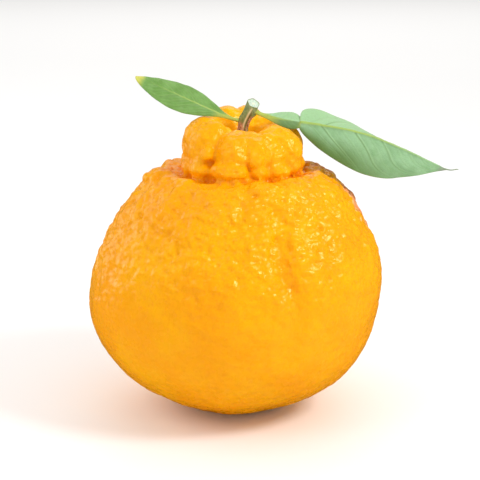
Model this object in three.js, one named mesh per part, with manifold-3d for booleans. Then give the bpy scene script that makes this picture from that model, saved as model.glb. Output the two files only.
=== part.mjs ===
// A necked mandarin orange, as picked: one fruit whose stalk end swells into a knobbly collar,
// the calyx in the hollow of that collar, a short cut stalk, and two leaves.
// Millimetres, +Z up. The origin is the middle of the flat spot that the fruit rests on;
// +X runs towards the larger leaf, and -Y is the fruit's front.

import * as THREE from "three";
import { mergeVertices } from "three/addons/utils/BufferGeometryUtils.js";
import Module from "manifold-3d";

const wasm = await Module();
wasm.setup();

// ---------- driving dimensions ----------

const BELLY_RADIUS = 46.8; // half the fruit's width at its widest
const BELLY_Z = 41; // height of the widest place
const SHOULDER_Z = 79.4; // top of the body, beside the collar
const CREST_Z = 92.4; // rim of the collar, before its lobes
const HOLLOW_Z = 88.6; // floor of the hollow where the stalk sits
const SPOT_RADIUS = 11; // flat spot under the fruit
const NECK_LEAN = 2.6; // how far the collar's middle stands towards +X
const GAP = 0.3; // left between pieces that touch

const BODY_SIDES = 56;
const BODY_RINGS = 32;
const LOBE_SIDES = 16;
const LOBE_RINGS = 10;
const MERGE = 1e-4; // points closer than this are one point
const SMALLEST_STEP = 0.02; // detail finer than this is left out of the joined fruit

const { degToRad, radToDeg, lerp, clamp } = THREE.MathUtils;

// The middle of a level slice: the fruit leans a little as it rises.
const axisX = (z) => NECK_LEAN * (Math.max(z, 0) / CREST_Z) ** 2;

// A place on or round the fruit, by compass turn (0 is +X, 270 the front), distance out and height.
function around(turn, out, z) {
  const a = degToRad(turn);
  return new THREE.Vector3(axisX(z) + out * Math.cos(a), out * Math.sin(a), z);
}

// ---------- solids from geometry ----------

// The same surface with its shared points merged and its empty triangles dropped.
function welded(geometry) {
  const bare = geometry.index ? geometry.toNonIndexed() : geometry.clone();
  bare.deleteAttribute("normal");
  bare.deleteAttribute("uv");
  const merged = mergeVertices(bare, MERGE);
  const triVerts = [];
  for (let i = 0; i < merged.index.count; i += 3) {
    const [a, b, c] = [0, 1, 2].map((k) => merged.index.getX(i + k));
    if (a !== b && b !== c && c !== a) triVerts.push(a, b, c);
  }
  merged.setIndex(triVerts);
  return merged;
}

function solidOf(geometry) {
  const merged = welded(geometry);
  return new wasm.Manifold(
    new wasm.Mesh({
      numProp: 3,
      vertProperties: merged.attributes.position.array,
      triVerts: new Uint32Array(merged.index.array),
    }),
  );
}

function geometryOf(solid) {
  const mesh = solid.getMesh();
  const geometry = new THREE.BufferGeometry();
  geometry.setAttribute("position", new THREE.BufferAttribute(mesh.vertProperties, mesh.numProp));
  geometry.setIndex(new THREE.BufferAttribute(mesh.triVerts, 1));
  geometry.computeVertexNormals();
  return geometry;
}

function moveEach(geometry, moved) {
  const position = geometry.attributes.position;
  const p = new THREE.Vector3();
  for (let i = 0; i < position.count; i++) {
    moved(p.fromBufferAttribute(position, i));
    position.setXYZ(i, p.x, p.y, p.z);
  }
  return geometry;
}

// ---------- fruit ----------

// Half of the fruit's section: flat spot, belly, shoulder, groove, collar, hollow.
function fruitOutline() {
  const R = BELLY_RADIUS;
  const rind = new THREE.SplineCurve(
    [
      [SPOT_RADIUS, 0],
      [0.45 * R, 3.8],
      [0.69 * R, 10.8],
      [0.875 * R, 20.4],
      [0.975 * R, 31],
      [R, BELLY_Z],
      [0.965 * R, 52],
      [0.885 * R, 62],
      [0.775 * R, 70],
      [0.645 * R, 76],
      [0.52 * R, SHOULDER_Z],
      [0.43 * R, SHOULDER_Z - 1],
      [0.385 * R, SHOULDER_Z - 1.2],
      [0.37 * R, SHOULDER_Z + 3],
      [0.375 * R, SHOULDER_Z + 8],
      [0.3 * R, CREST_Z],
      [0.18 * R, CREST_Z - 1],
      [0.115 * R, HOLLOW_Z],
    ].map(([r, z]) => new THREE.Vector2(r, z)),
  );
  return [new THREE.Vector2(0, 0), ...rind.getPoints(BODY_RINGS), new THREE.Vector2(0, HOLLOW_Z)];
}

// Shallow grooves that run down from the collar and die out at the belly.
const FURROW_MIDDLE_Z = 68;
const FURROW_REACH = 22;
const FURROWS = [
  { turn: 22, depth: 1.1, spread: 8 },
  { turn: 74, depth: 0.9, spread: 9 },
  { turn: 128, depth: 1.2, spread: 8 },
  { turn: 166, depth: 0.8, spread: 7 },
  { turn: 214, depth: 1.0, spread: 9 },
  { turn: 262, depth: 0.8, spread: 8 },
  { turn: 300, depth: 1.3, spread: 6 },
  { turn: 338, depth: 0.8, spread: 9 },
];

const bump = (x, spread) => Math.exp(-((x / spread) ** 2));
const turnBetween = (a, b) => ((((a - b) % 360) + 540) % 360) - 180;
const total = (list, value) => list.reduce((sum, item) => sum + value(item), 0);

function furrowDepth(turn, z) {
  const across = total(FURROWS, (furrow) => furrow.depth * bump(turnBetween(turn, furrow.turn), furrow.spread));
  return bump(z - FURROW_MIDDLE_Z, FURROW_REACH) * across;
}

// Broad swellings make the round body a little uneven: how many go round it, their share of
// the radius, and where they start. The belly also sits higher towards +X.
const SWELLINGS = [
  { count: 2, size: 0.008, start: -0.5 },
  { count: 3, size: 0.009, start: 1.9 },
  { count: 5, size: 0.006, start: 1.6 },
];
const BELLY_TILT = 0.045;

function growUnevenly(p) {
  const a = Math.atan2(p.y, p.x);
  const r = Math.hypot(p.x, p.y);
  const fullness = Math.min(1, r / BELLY_RADIUS);
  const swelling = total(SWELLINGS, ({ count, size, start }) => size * Math.cos(count * a + start));
  const out = r * (1 + swelling * fullness) - furrowDepth(radToDeg(a), p.z) * fullness;
  const rise = Math.sin(Math.PI * clamp(p.z / SHOULDER_Z, 0, 1));
  p.x = out * Math.cos(a) + axisX(p.z);
  p.y = out * Math.sin(a);
  p.z += BELLY_TILT * p.x * rise;
}

// The collar's lobes: turn, distance out from the collar's middle, height,
// and half sizes outwards, sideways and upwards.
const LOBES = [
  { turn: 190, out: 11.0, up: 86.6, half: [7.8, 8.2, 9.4] },
  { turn: 234, out: 11.6, up: 88.6, half: [6.6, 5.6, 6.2] },
  { turn: 268, out: 11.6, up: 85.8, half: [8.4, 8.2, 8.8] },
  { turn: 302, out: 11.6, up: 85.2, half: [7.4, 6.2, 7.6] },
  { turn: 336, out: 12.0, up: 85.2, half: [8.4, 8.2, 8.4] },
  { turn: 14, out: 12.2, up: 85.6, half: [7.8, 7.0, 7.8] },
  { turn: 48, out: 12.0, up: 86.4, half: [8.0, 7.4, 8.2] },
  { turn: 86, out: 12.0, up: 87.4, half: [7.6, 6.8, 8.6] },
  { turn: 118, out: 11.8, up: 87.0, half: [7.8, 6.8, 9.0] },
  { turn: 152, out: 11.6, up: 86.6, half: [7.8, 7.4, 8.8] },
];

// Smaller knobs hang under the lobes, down in the groove.
const KNOBS = [
  { turn: 256, out: 15.4, up: 80.6, half: [6.0, 7.2, 4.4] },
  { turn: 288, out: 15.8, up: 81.8, half: [4.4, 4.0, 4.2] },
  { turn: 316, out: 15.2, up: 81.2, half: [5.4, 6.0, 4.8] },
  { turn: 196, out: 14.8, up: 81.6, half: [4.2, 4.6, 5.0] },
  { turn: 224, out: 14.6, up: 81.6, half: [5.2, 5.6, 5.2] },
  { turn: 350, out: 15.8, up: 81.4, half: [4.6, 4.6, 4.6] },
  { turn: 34, out: 15.6, up: 81.0, half: [5.2, 6.0, 4.4] },
  { turn: 78, out: 15.6, up: 81.4, half: [4.8, 5.4, 4.4] },
  { turn: 130, out: 15.4, up: 81.0, half: [5.2, 6.2, 4.4] },
  { turn: 166, out: 15.2, up: 81.6, half: [4.2, 4.8, 4.6] },
];

function lobeSolid({ turn, out, up, half }) {
  const ball = new THREE.SphereGeometry(1, LOBE_SIDES, LOBE_RINGS).rotateX(Math.PI / 2);
  const place = around(turn, out, up);
  return solidOf(ball.scale(...half).rotateZ(degToRad(turn)).translate(...place.toArray()));
}

function fruitGeometry() {
  const round = new THREE.LatheGeometry(fruitOutline(), BODY_SIDES).rotateX(Math.PI / 2);
  const body = solidOf(moveEach(welded(round), growUnevenly));
  const whole = [...LOBES, ...KNOBS].reduce((joined, lobe) => joined.add(lobeSolid(lobe)), body);
  return geometryOf(whole.simplify(SMALLEST_STEP));
}

// ---------- calyx ----------

// A low green star in the hollow, cupped up at its tips.
const CALYX_RADIUS = 4.6;
const CALYX_THICKNESS = 1.1;
const CALYX_TIPS = 5;
const CALYX_NOTCH = 0.3; // how far the star is cut in between its tips, as a share of its radius
const CALYX_CUP = 0.5; // how far its tips turn up

function calyxGeometry() {
  const disc = new THREE.CylinderGeometry(CALYX_RADIUS, 0.8 * CALYX_RADIUS, CALYX_THICKNESS, 8 * CALYX_TIPS);
  const middleZ = HOLLOW_Z + GAP + CALYX_THICKNESS / 2;
  return moveEach(disc.rotateX(Math.PI / 2), (p) => {
    const a = Math.atan2(p.y, p.x);
    const tip = 0.5 + 0.5 * Math.cos(CALYX_TIPS * a);
    const r = Math.hypot(p.x, p.y) * (1 - CALYX_NOTCH * (1 - tip));
    const cup = CALYX_CUP * tip * (r / CALYX_RADIUS) ** 2;
    p.set(axisX(HOLLOW_Z) + r * Math.cos(a), r * Math.sin(a), middleZ + p.z + cup);
  });
}

// ---------- stalk ----------

const STALK_FOOT = around(0, 0, HOLLOW_Z + CALYX_THICKNESS + 2 * GAP);
const STALK_TIP = new THREE.Vector3(6.1, -0.6, 100.6);
const STALK_FOOT_RADIUS = 1.6;
const STALK_TIP_RADIUS = 2.0;
const STALK_RIBS = 5;
const RIB_HEIGHT = 0.07; // as a share of the radius
const RIB_TWIST = 2.2; // radians from foot to tip
const CUT_SLOPE = 0.42; // the cut faces up and towards the front

const stalkLine = new THREE.QuadraticBezierCurve3(
  STALK_FOOT,
  new THREE.Vector3(STALK_FOOT.x + 0.4, 0, STALK_FOOT.z + 4),
  STALK_TIP,
);

// A ribbed twig that thickens towards its slanting cut.
function stalkGeometry() {
  const twig = new THREE.CylinderGeometry(1, 1, 1, 4 * STALK_RIBS, 10).rotateX(Math.PI / 2);
  return moveEach(twig, (p) => {
    const t = p.z + 0.5;
    const a = Math.atan2(p.y, p.x);
    const rib = 1 + RIB_HEIGHT * Math.cos(STALK_RIBS * a + RIB_TWIST * t);
    const radius = Math.hypot(p.x, p.y) * rib * lerp(STALK_FOOT_RADIUS, STALK_TIP_RADIUS, t ** 1.5);
    const along = stalkLine.getTangent(t);
    const side = new THREE.Vector3(1, 0, 0).addScaledVector(along, -along.x).normalize();
    const back = new THREE.Vector3().crossVectors(along, side);
    const cut = CUT_SLOPE * radius * Math.sin(a) * t ** 6;
    p.copy(stalkLine.getPoint(t))
      .addScaledVector(side, radius * Math.cos(a))
      .addScaledVector(back, radius * Math.sin(a))
      .addScaledVector(along, cut);
  });
}

// ---------- leaves ----------

const BLADE_THICKNESS = 0.5;
const FRONT = new THREE.Vector3(0, -1, 0);

function curve(...points) {
  const places = points.map((p) => new THREE.Vector3(...p));
  return new THREE.CatmullRomCurve3(places, false, "centripetal");
}

// A half blade's width along its midrib, as a share of its greatest width.
// skew moves the widest place, and a larger fullness makes that end more pointed.
function outline(t, [skew, baseFullness, tipFullness]) {
  return Math.sin(Math.PI * clamp(t, 0, 1) ** skew) ** lerp(baseFullness, tipFullness, t);
}

// A leaf hangs on its midrib. Its front and back halves leave the midrib at their own slopes
// below the level, which change from base to tip, and curl on from there.
// t runs along the midrib from 0 to 1, and s across it, from -1 at the back edge to 1 at the front.
function leafPoint(leaf, t, s) {
  const half = s > 0 ? leaf.front : leaf.back;
  const along = leaf.midrib.getTangentAt(t);
  const level = FRONT.clone().addScaledVector(along, -along.dot(FRONT)).normalize();
  const up = new THREE.Vector3().crossVectors(level, along);
  if (up.z < 0) up.negate();
  const blade = (t - leaf.bladeFrom) / (leaf.bladeTo - leaf.bladeFrom);
  const width = Math.abs(s) * (leaf.stem + half.width * outline(blade, half.shape));
  const slope = degToRad(lerp(half.slope[0], half.slope[1], t) + half.curl * Math.abs(s));
  return leaf.midrib
    .getPointAt(t)
    .addScaledVector(level, Math.sign(s) * width * Math.cos(slope))
    .addScaledVector(up, -width * Math.sin(slope));
}

// The direction square to a leaf, from two small steps, one along it and one across it.
function leafNormal(leaf, t, s) {
  const step = 0.01;
  const [tn, sn] = [clamp(t, step, 1 - step), clamp(s, 2 * step - 1, 1 - 2 * step)];
  const along = leafPoint(leaf, tn + step, sn).sub(leafPoint(leaf, tn - step, sn));
  const across = leafPoint(leaf, tn, sn + step).sub(leafPoint(leaf, tn, sn - step));
  return along.cross(across).normalize();
}

// A closed shell round a leaf, of even thickness but for a rib along the midrib.
function leafGeometry(leaf, stations, columns) {
  const row = columns + 1;
  const layer = row * (stations + 1);
  const points = [];
  for (const side of [1, -1]) {
    for (let i = 0; i <= stations; i++) {
      for (let j = 0; j <= columns; j++) {
        const [t, s] = [i / stations, (2 * j) / columns - 1];
        const rib = leaf.rib * (1 - leaf.taper * t) * Math.max(0, 1 - 2 * Math.abs(s));
        const offset = (side * (BLADE_THICKNESS + rib)) / 2;
        points.push(leafPoint(leaf, t, s).addScaledVector(leafNormal(leaf, t, s), offset));
      }
    }
  }
  const index = [];
  const quad = (a, b, c, d) => index.push(a, b, c, a, c, d);
  for (let i = 0; i < stations; i++) {
    const [backEdge, frontEdge] = [i * row, i * row + columns];
    for (let a = backEdge; a < frontEdge; a++) {
      quad(a, a + row, a + row + 1, a + 1);
      quad(layer + a, layer + a + 1, layer + a + row + 1, layer + a + row);
    }
    quad(backEdge, layer + backEdge, layer + backEdge + row, backEdge + row);
    quad(frontEdge, frontEdge + row, layer + frontEdge + row, layer + frontEdge);
  }
  for (let j = 0; j < columns; j++) {
    const end = stations * row + j;
    quad(j, j + 1, layer + j + 1, layer + j);
    quad(end, layer + end, layer + end + 1, end + 1);
  }
  const geometry = new THREE.BufferGeometry();
  const positions = points.flatMap((p) => p.toArray());
  geometry.setAttribute("position", new THREE.Float32BufferAttribute(positions, 3));
  geometry.setIndex(index);
  return geometry;
}

// The smaller leaf: a thin petiole that widens into a narrow blade with a blunt tip.
const smallLeaf = {
  midrib: curve(
    [1.4, -0.6, 95],
    [-2.8, -1.2, 96.4],
    [-14.2, -1.6, 101.2],
    [-25, -1.6, 105.8],
    [-30.6, -1.6, 108.1],
  ),
  bladeFrom: 0.04,
  bladeTo: 1,
  stem: 0.5,
  front: { width: 5, slope: [46, 50], curl: 8, shape: [1.25, 1.5, 0.6] },
  back: { width: 5.6, slope: [-36, -34], curl: 5, shape: [0.95, 1.6, 0.9] },
  rib: 0.6,
  taper: 0.8,
};

// The larger leaf's petiole is winged: a short leafy blade of its own, widest at the far end.
const wing = {
  midrib: curve([7.4, -0.8, 97.6], [9.6, -1, 96.6], [15.4, -1, 95.2], [20.1, -1, 94.4]),
  bladeFrom: -0.12,
  bladeTo: 1.06,
  stem: 0.5,
  front: { width: 2.2, slope: [50, 50], curl: 8, shape: [2.6, 1, 0.6] },
  back: { width: 4, slope: [-24, -24], curl: 6, shape: [2.6, 1, 0.6] },
  rib: 0.8,
  taper: 0.2,
};

// The larger leaf's blade: folded along its midrib and turning as it runs out to a thin tip.
const largeLeaf = {
  midrib: curve(
    [20.8, -1, 94.2],
    [28, -1.4, 92.8],
    [42, -2, 89.4],
    [54, -2.6, 85.2],
    [66.6, -3, 80],
    [71.4, -3, 79.7],
  ),
  bladeFrom: 0,
  bladeTo: 0.93,
  stem: 0.35,
  front: { width: 12.4, slope: [52, 68], curl: 8, shape: [0.95, 0.65, 1.2] },
  back: { width: 12.4, slope: [-41, 64], curl: 4, shape: [0.92, 0.35, 1.2] },
  rib: 0.8,
  taper: 0.9,
};

// ---------- the assembly ----------

const RIND = new THREE.MeshStandardMaterial({ color: 0xfca80c, roughness: 0.42, metalness: 0 });
const CALYX_GREEN = new THREE.MeshStandardMaterial({ color: 0x8a9a4a, roughness: 0.7, metalness: 0 });
const BARK = new THREE.MeshStandardMaterial({ color: 0x7c7f45, roughness: 0.8, metalness: 0 });
const LEAF = new THREE.MeshStandardMaterial({ color: 0x7fb367, roughness: 0.5, metalness: 0 });

function piece(name, geometry, material) {
  const mesh = new THREE.Mesh(geometry, material);
  mesh.name = name;
  return mesh;
}

const mandarin = new THREE.Group();
mandarin.add(
  piece("fruit", fruitGeometry(), RIND),
  piece("calyx", calyxGeometry(), CALYX_GREEN),
  piece("stalk", stalkGeometry(), BARK),
  piece("small_leaf", leafGeometry(smallLeaf, 22, 8), LEAF),
  piece("winged_petiole", leafGeometry(wing, 12, 8), LEAF),
  piece("large_leaf", leafGeometry(largeLeaf, 26, 10), LEAF),
);

export default mandarin;
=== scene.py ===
# %% [markdown]
# # A necked mandarin orange
# This fruit swells at its stalk end into a knobbly collar. Its rind is pebbled with oil glands,
# a short cut stalk stands in the collar's hollow, and two leaves still hang on it.
# A solid model of every piece, at its real size, is opened first. Each piece below is made
# again as a fine surface in the same place, and stands for its plain solid.

# %% Open the solid model
import math

import bmesh
import bpy
import numpy as np
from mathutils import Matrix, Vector, noise


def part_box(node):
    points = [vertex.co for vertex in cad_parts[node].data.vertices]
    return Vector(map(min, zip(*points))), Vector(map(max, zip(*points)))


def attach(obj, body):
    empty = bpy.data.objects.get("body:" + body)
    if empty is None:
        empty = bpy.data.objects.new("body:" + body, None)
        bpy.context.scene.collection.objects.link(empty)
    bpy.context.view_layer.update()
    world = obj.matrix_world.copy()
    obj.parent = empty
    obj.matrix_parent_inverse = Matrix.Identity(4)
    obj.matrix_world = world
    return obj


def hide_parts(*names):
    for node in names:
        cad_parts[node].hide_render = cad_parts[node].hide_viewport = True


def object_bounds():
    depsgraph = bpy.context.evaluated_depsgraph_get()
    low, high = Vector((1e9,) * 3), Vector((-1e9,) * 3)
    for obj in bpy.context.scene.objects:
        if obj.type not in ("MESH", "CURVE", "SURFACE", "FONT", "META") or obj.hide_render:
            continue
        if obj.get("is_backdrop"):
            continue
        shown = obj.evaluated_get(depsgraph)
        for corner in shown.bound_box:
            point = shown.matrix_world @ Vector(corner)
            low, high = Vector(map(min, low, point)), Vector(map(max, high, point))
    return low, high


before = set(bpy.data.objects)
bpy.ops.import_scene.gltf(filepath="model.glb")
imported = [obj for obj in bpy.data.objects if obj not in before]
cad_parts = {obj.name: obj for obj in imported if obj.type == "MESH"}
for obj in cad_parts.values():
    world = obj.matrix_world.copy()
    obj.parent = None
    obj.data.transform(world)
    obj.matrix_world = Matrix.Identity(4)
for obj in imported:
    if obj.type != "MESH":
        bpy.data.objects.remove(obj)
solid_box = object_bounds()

MM = 0.001
print("solids:", ", ".join(sorted(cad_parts)))

# %% [markdown]
# ## Places and sizes
# Everything is worked out in millimetres and turned into metres when a mesh is made.
# The fruit's own size comes from the solid. The heights of its belly, shoulder, crest and
# hollow are shares of the fruit's height, and the belly's radius is a share of its width.

# %% Driving sizes
fruit_low, fruit_high = (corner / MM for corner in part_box("fruit"))
FRUIT_WIDTH = fruit_high.x - fruit_low.x
FRUIT_HEIGHT = fruit_high.z


def share_of(size, share):
    """A share of a size, to a tenth of a millimetre."""
    return round(share * size, 1)


BELLY_RADIUS = share_of(FRUIT_WIDTH, 0.4965)
BELLY_Z = share_of(FRUIT_HEIGHT, 0.427)
SHOULDER_Z = share_of(FRUIT_HEIGHT, 0.827)
CREST_Z = share_of(FRUIT_HEIGHT, 0.9625)
HOLLOW_Z = share_of(FRUIT_HEIGHT, 0.923)
SPOT_RADIUS = 11.0
NECK_LEAN = 2.6
print(f"fruit {FRUIT_WIDTH:.1f} mm wide, {FRUIT_HEIGHT:.1f} mm high")
print(f"belly {BELLY_RADIUS} mm at {BELLY_Z}, shoulder {SHOULDER_Z}, hollow {HOLLOW_Z}, crest {CREST_Z}")


# %% Ramps, bells and angles
def middle_x(z):
    """The fruit leans a little towards +X as it rises."""
    return NECK_LEAN * (np.maximum(z, 0) / CREST_Z) ** 2


def smooth_step(low, high, value):
    """0 at low, 1 at high, and a smooth ramp between them. low may be above high."""
    t = np.clip((value - low) / (high - low), 0, 1)
    return t * t * (3 - 2 * t)


def hump(x, spread):
    """A bell that is 1 at x = 0 and nearly 0 at twice the spread."""
    return np.exp(-((x / spread) ** 2))


def away_from(degrees, middle):
    """How far an angle lies from a middle one, from -180 to 180 degrees."""
    return (degrees - middle + 540) % 360 - 180


def full_turn(count):
    """count even angles round a circle, in radians, without the last, which is the first again."""
    return np.linspace(0, 2 * np.pi, count, endpoint=False)


def unit(vectors):
    """The same directions, each of length 1."""
    return vectors / np.maximum(np.linalg.norm(vectors, axis=-1, keepdims=True), 1e-9)


# %% [markdown]
# ## Curves and noise
# A Catmull-Rom spline passes through a few given points, and is cut into even steps.
# Blender's noise module gives the same bumps on every run, so nothing here is random.

# %% Curves
FINE_STEPS = 40


def spline(points, count):
    """count points at even steps along a smooth curve through the given points."""
    p = np.array(points, float)
    p = np.vstack([2 * p[0] - p[1], p, 2 * p[-1] - p[-2]])
    u = np.linspace(0, 1, FINE_STEPS, endpoint=False)[:, None]
    runs = []
    for a, b, c, d in zip(p, p[1:], p[2:], p[3:]):
        bend = 2 * a - 5 * b + 4 * c - d
        twist = 3 * b - a - 3 * c + d
        runs.append(b + 0.5 * u * (c - a + u * (bend + u * twist)))
    fine = np.vstack([*runs, p[-2:-1]])
    length = np.r_[0, np.cumsum(np.linalg.norm(np.diff(fine, axis=0), axis=1))]
    even = np.linspace(0, length[-1], count)
    return np.stack([np.interp(even, length, column) for column in fine.T], axis=1)


# %% Noise
def bumps(points, size, seed):
    """Smooth noise, from about -1 to 1, whose bumps are about size millimetres across."""
    shift = Vector((7.3, 2.9, 5.1)) * seed
    return np.array([noise.noise(Vector(p) / size + shift) for p in points])


def to_nearest_spot(points, size, seed):
    """How far each point is from the nearest of scattered spots, in spot spacings."""
    shift = Vector((3.7, 8.1, 1.3)) * seed
    return np.array([noise.voronoi(Vector(p) / size + shift)[0][0] for p in points])


# %% [markdown]
# ## Meshes
# A surface made as rows and columns of points is the simplest to control in code.
# Quads join each point to its neighbours, and a row can close on itself to make a ring.

# %% Meshes from rows of points
def quads(rows, columns, ring=False, first=0):
    """Quads over rows x columns points. With ring, the last column joins the first."""
    i = np.arange(rows - 1)[:, None] * columns
    j = np.arange(columns if ring else columns - 1)[None, :]
    k = (j + 1) % columns
    corners = [i + j, i + columns + j, i + columns + k, i + k]
    return first + np.stack([np.broadcast_to(c, (rows - 1, j.size)).ravel() for c in corners], axis=1)


def new_piece(name, points, faces):
    """A smooth-shaded object from points in millimetres and lists of corners."""
    mesh = bpy.data.meshes.new(name)
    mesh.from_pydata((np.asarray(points) * MM).tolist(), [], [list(map(int, f)) for f in faces])
    mesh.validate()
    mesh.shade_smooth()
    piece = bpy.data.objects.new(name, mesh)
    bpy.context.scene.collection.objects.link(piece)
    return piece


def triangles(piece):
    """How many triangles the piece's faces make."""
    return sum(len(face.vertices) - 2 for face in piece.data.polygons)


# %% Reading, moving and marking points
def points_of(piece):
    """The piece's points in millimetres, and the direction that its surface faces at each."""
    mesh = piece.data
    places = np.empty(3 * len(mesh.vertices), np.float32)
    facings = np.empty_like(places)
    mesh.vertices.foreach_get("co", places)
    mesh.vertex_normals.foreach_get("vector", facings)
    return places.reshape(-1, 3).astype(float) / MM, facings.reshape(-1, 3).astype(float)


def move_points(piece, points):
    """Puts every point of the piece in a new place, given in millimetres."""
    piece.data.vertices.foreach_set("co", (points * MM).astype(np.float32).ravel())
    piece.data.update()


def note(piece, name, values):
    """Keeps one number from 0 to 1 for each point, which a material can read by name."""
    layer = piece.data.attributes.new(name, "FLOAT", "POINT")
    layer.data.foreach_set("value", np.clip(values, 0, 1).astype(np.float32).ravel())


def settle(piece, kind, **settings):
    """Adds a modifier to a piece and keeps its result as the piece's mesh."""
    modifier = piece.modifiers.new(kind, kind)
    for key, value in settings.items():
        setattr(modifier, key, value)
    shown = piece.evaluated_get(bpy.context.evaluated_depsgraph_get())
    mesh = bpy.data.meshes.new_from_object(shown)
    piece.modifiers.clear()
    piece.data = mesh


# %% [markdown]
# Two faults are common in meshes that code has made. Pieces of skin can be left shut inside,
# where nobody sees them, and a sheet's rows can end in many points that lie in one place. The
# bmesh module, Blender's tool for editing a mesh in code, clears both. A closed mesh whose
# volume comes out negative faces inwards, and is turned inside out.

# %% Closed and clean meshes
WELD_DISTANCE = 0.00005


def keep_outer_skin(piece):
    """Drops every island of faces but the one that the highest point belongs to."""
    mesh = bmesh.new()
    mesh.from_mesh(piece.data)
    waiting = [max(mesh.verts, key=lambda point: point.co.z)]
    kept = set(waiting)
    while waiting:
        point = waiting.pop()
        near = {edge.other_vert(point) for edge in point.link_edges} - kept
        kept |= near
        waiting.extend(near)
    bmesh.ops.delete(mesh, geom=[point for point in mesh.verts if point not in kept])
    mesh.to_mesh(piece.data)
    mesh.free()


def close_up(piece):
    """Joins points that lie in the same place, and turns every face outwards."""
    mesh = bmesh.new()
    mesh.from_mesh(piece.data)
    bmesh.ops.remove_doubles(mesh, verts=mesh.verts, dist=WELD_DISTANCE * MM)
    if mesh.calc_volume(signed=True) < 0:
        bmesh.ops.reverse_faces(mesh, faces=mesh.faces)
    mesh.to_mesh(piece.data)
    mesh.free()


# %% [markdown]
# ## Shader maths
# A material is a graph of small nodes. These classes let the graph be written as ordinary sums:
# each operator adds one Math node and hands back its result. Any other node comes from node().

# %% Writing materials as sums
class Value:
    """One socket of a graph, so that shader maths reads as Python."""

    def __init__(self, graph, socket):
        self.graph = graph
        self.socket = socket

    def maths(self, operation, first, second):
        """The result of a new Math node."""
        return self.graph.node("ShaderNodeMath", {"operation": operation}, [first, second])

    def __add__(self, other):
        return self.maths("ADD", self, other)

    def __sub__(self, other):
        return self.maths("SUBTRACT", self, other)

    def __rsub__(self, other):
        return self.maths("SUBTRACT", other, self)

    def __mul__(self, other):
        return self.maths("MULTIPLY", self, other)

    __radd__ = __add__
    __rmul__ = __mul__

    def ramp(self, low, high):
        """0 where this is at low, 1 at high, smooth between. low may be above high."""
        settings = {"interpolation_type": "SMOOTHSTEP"}
        return self.graph.node("ShaderNodeMapRange", settings, [self, low, high, 0, 1])


class Graph:
    """The nodes of a material, or of the world."""

    def __init__(self, tree):
        self.tree = tree

    def node(self, kind, settings, inputs, output=0):
        """Adds a node: its settings first, then its inputs in order or by name."""
        made = self.tree.nodes.new(kind)
        for key, value in settings.items():
            setattr(made, key, value)
        pairs = inputs.items() if isinstance(inputs, dict) else enumerate(inputs)
        for key, value in pairs:
            self.join(made.inputs[key], value)
        return Value(self, made.outputs[output])

    def join(self, socket, value):
        """Links a value to a socket, or sets a constant on it. A colour gets its alpha of 1."""
        if isinstance(value, Value):
            self.tree.links.new(value.socket, socket)
        elif socket.type == "RGBA":
            socket.default_value = (*value, 1.0)
        else:
            socket.default_value = value


# %% Finishes
class Finish(Graph):
    """A material under construction, with one Principled shader."""

    def __init__(self, name, **constants):
        self.material = bpy.data.materials.new(name)
        self.material.use_nodes = True
        super().__init__(self.material.node_tree)
        self.shader = self.tree.nodes["Principled BSDF"]
        self.feed(constants)

    def feed(self, sockets):
        """Sets or links the shader's sockets. Their names have _ in place of spaces."""
        for name, value in sockets.items():
            self.join(self.shader.inputs[name.replace("_", " ")], value)

    def noted(self, name):
        """A number that note() kept for each point."""
        return self.node("ShaderNodeAttribute", {"attribute_name": name}, [], "Fac")

    def place(self, x=1.0, y=1.0, z=1.0):
        """The place on the piece in millimetres, stretched along each axis."""
        here = self.node("ShaderNodeTexCoord", {}, [], "Object")
        stretch = (x / MM, y / MM, z / MM)
        return self.node("ShaderNodeVectorMath", {"operation": "MULTIPLY"}, [here, stretch])

    def cloud(self, place, size, detail=2.0, roughness=0.5):
        """Soft noise from 0 to 1, with patches about size millimetres across."""
        inputs = {"Vector": place, "Scale": 1 / size, "Detail": detail, "Roughness": roughness}
        return self.node("ShaderNodeTexNoise", {}, inputs, "Fac")

    def spots(self, place, size, feature="F1"):
        """The distance to scattered spots, or to the edges between their cells."""
        inputs = {"Vector": place, "Scale": 1 / size}
        return self.node("ShaderNodeTexVoronoi", {"feature": feature}, inputs, "Distance")

    def blend(self, share, first, second):
        """A colour between two others. A Mix node's colours are its inputs 6 and 7."""
        settings = {"data_type": "RGBA", "clamp_factor": True}
        return self.node("ShaderNodeMix", settings, {0: share, 6: first, 7: second}, 2)

    def raised(self, height, depth_mm):
        """A bump: height from 0 to 1 stands for depth_mm millimetres."""
        inputs = {"Strength": 1.0, "Distance": depth_mm * MM, "Height": height}
        return self.node("ShaderNodeBump", {}, inputs, "Normal")

    def wear(self, piece, **varying):
        """Feeds the shader, and puts the finish on the piece."""
        self.feed(varying)
        piece.data.materials.clear()
        piece.data.materials.append(self.material)
        print(f"{self.material.name} finish: {len(self.tree.nodes)} nodes")


# %% [markdown]
# ## The rind's form
# The fruit is one skin, so it is best made as one mesh. A turned outline gives the round body,
# the groove and the core of the collar. The collar's lobes and knobs are stretched balls pushed
# into it. A voxel remesh then melts them into one even skin, and smoothing rounds the creases.

# %% The body's outline
OUTLINE_STEPS = 230
BODY_COLUMNS = 300
OUTLINE = [
    (0.45, 3.8), (0.69, 10.8), (0.875, 20.4), (0.975, 31), (1, BELLY_Z), (0.958, 52),
    (0.865, 62), (0.762, 70), (0.645, 76), (0.52, SHOULDER_Z), (0.43, SHOULDER_Z - 1),
    (0.385, SHOULDER_Z - 1.2), (0.37, SHOULDER_Z + 3), (0.375, SHOULDER_Z + 8),
    (0.3, CREST_Z), (0.18, CREST_Z - 1), (0.115, HOLLOW_Z),
]


def fruit_outline():
    """Half of the section, as (share of the belly's radius, height): belly, groove, collar, hollow."""
    rind_line = [(share * BELLY_RADIUS, z) for share, z in OUTLINE]
    return np.vstack([(0, 0), spline([(SPOT_RADIUS, 0), *rind_line], OUTLINE_STEPS), (0, HOLLOW_Z)])


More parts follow.
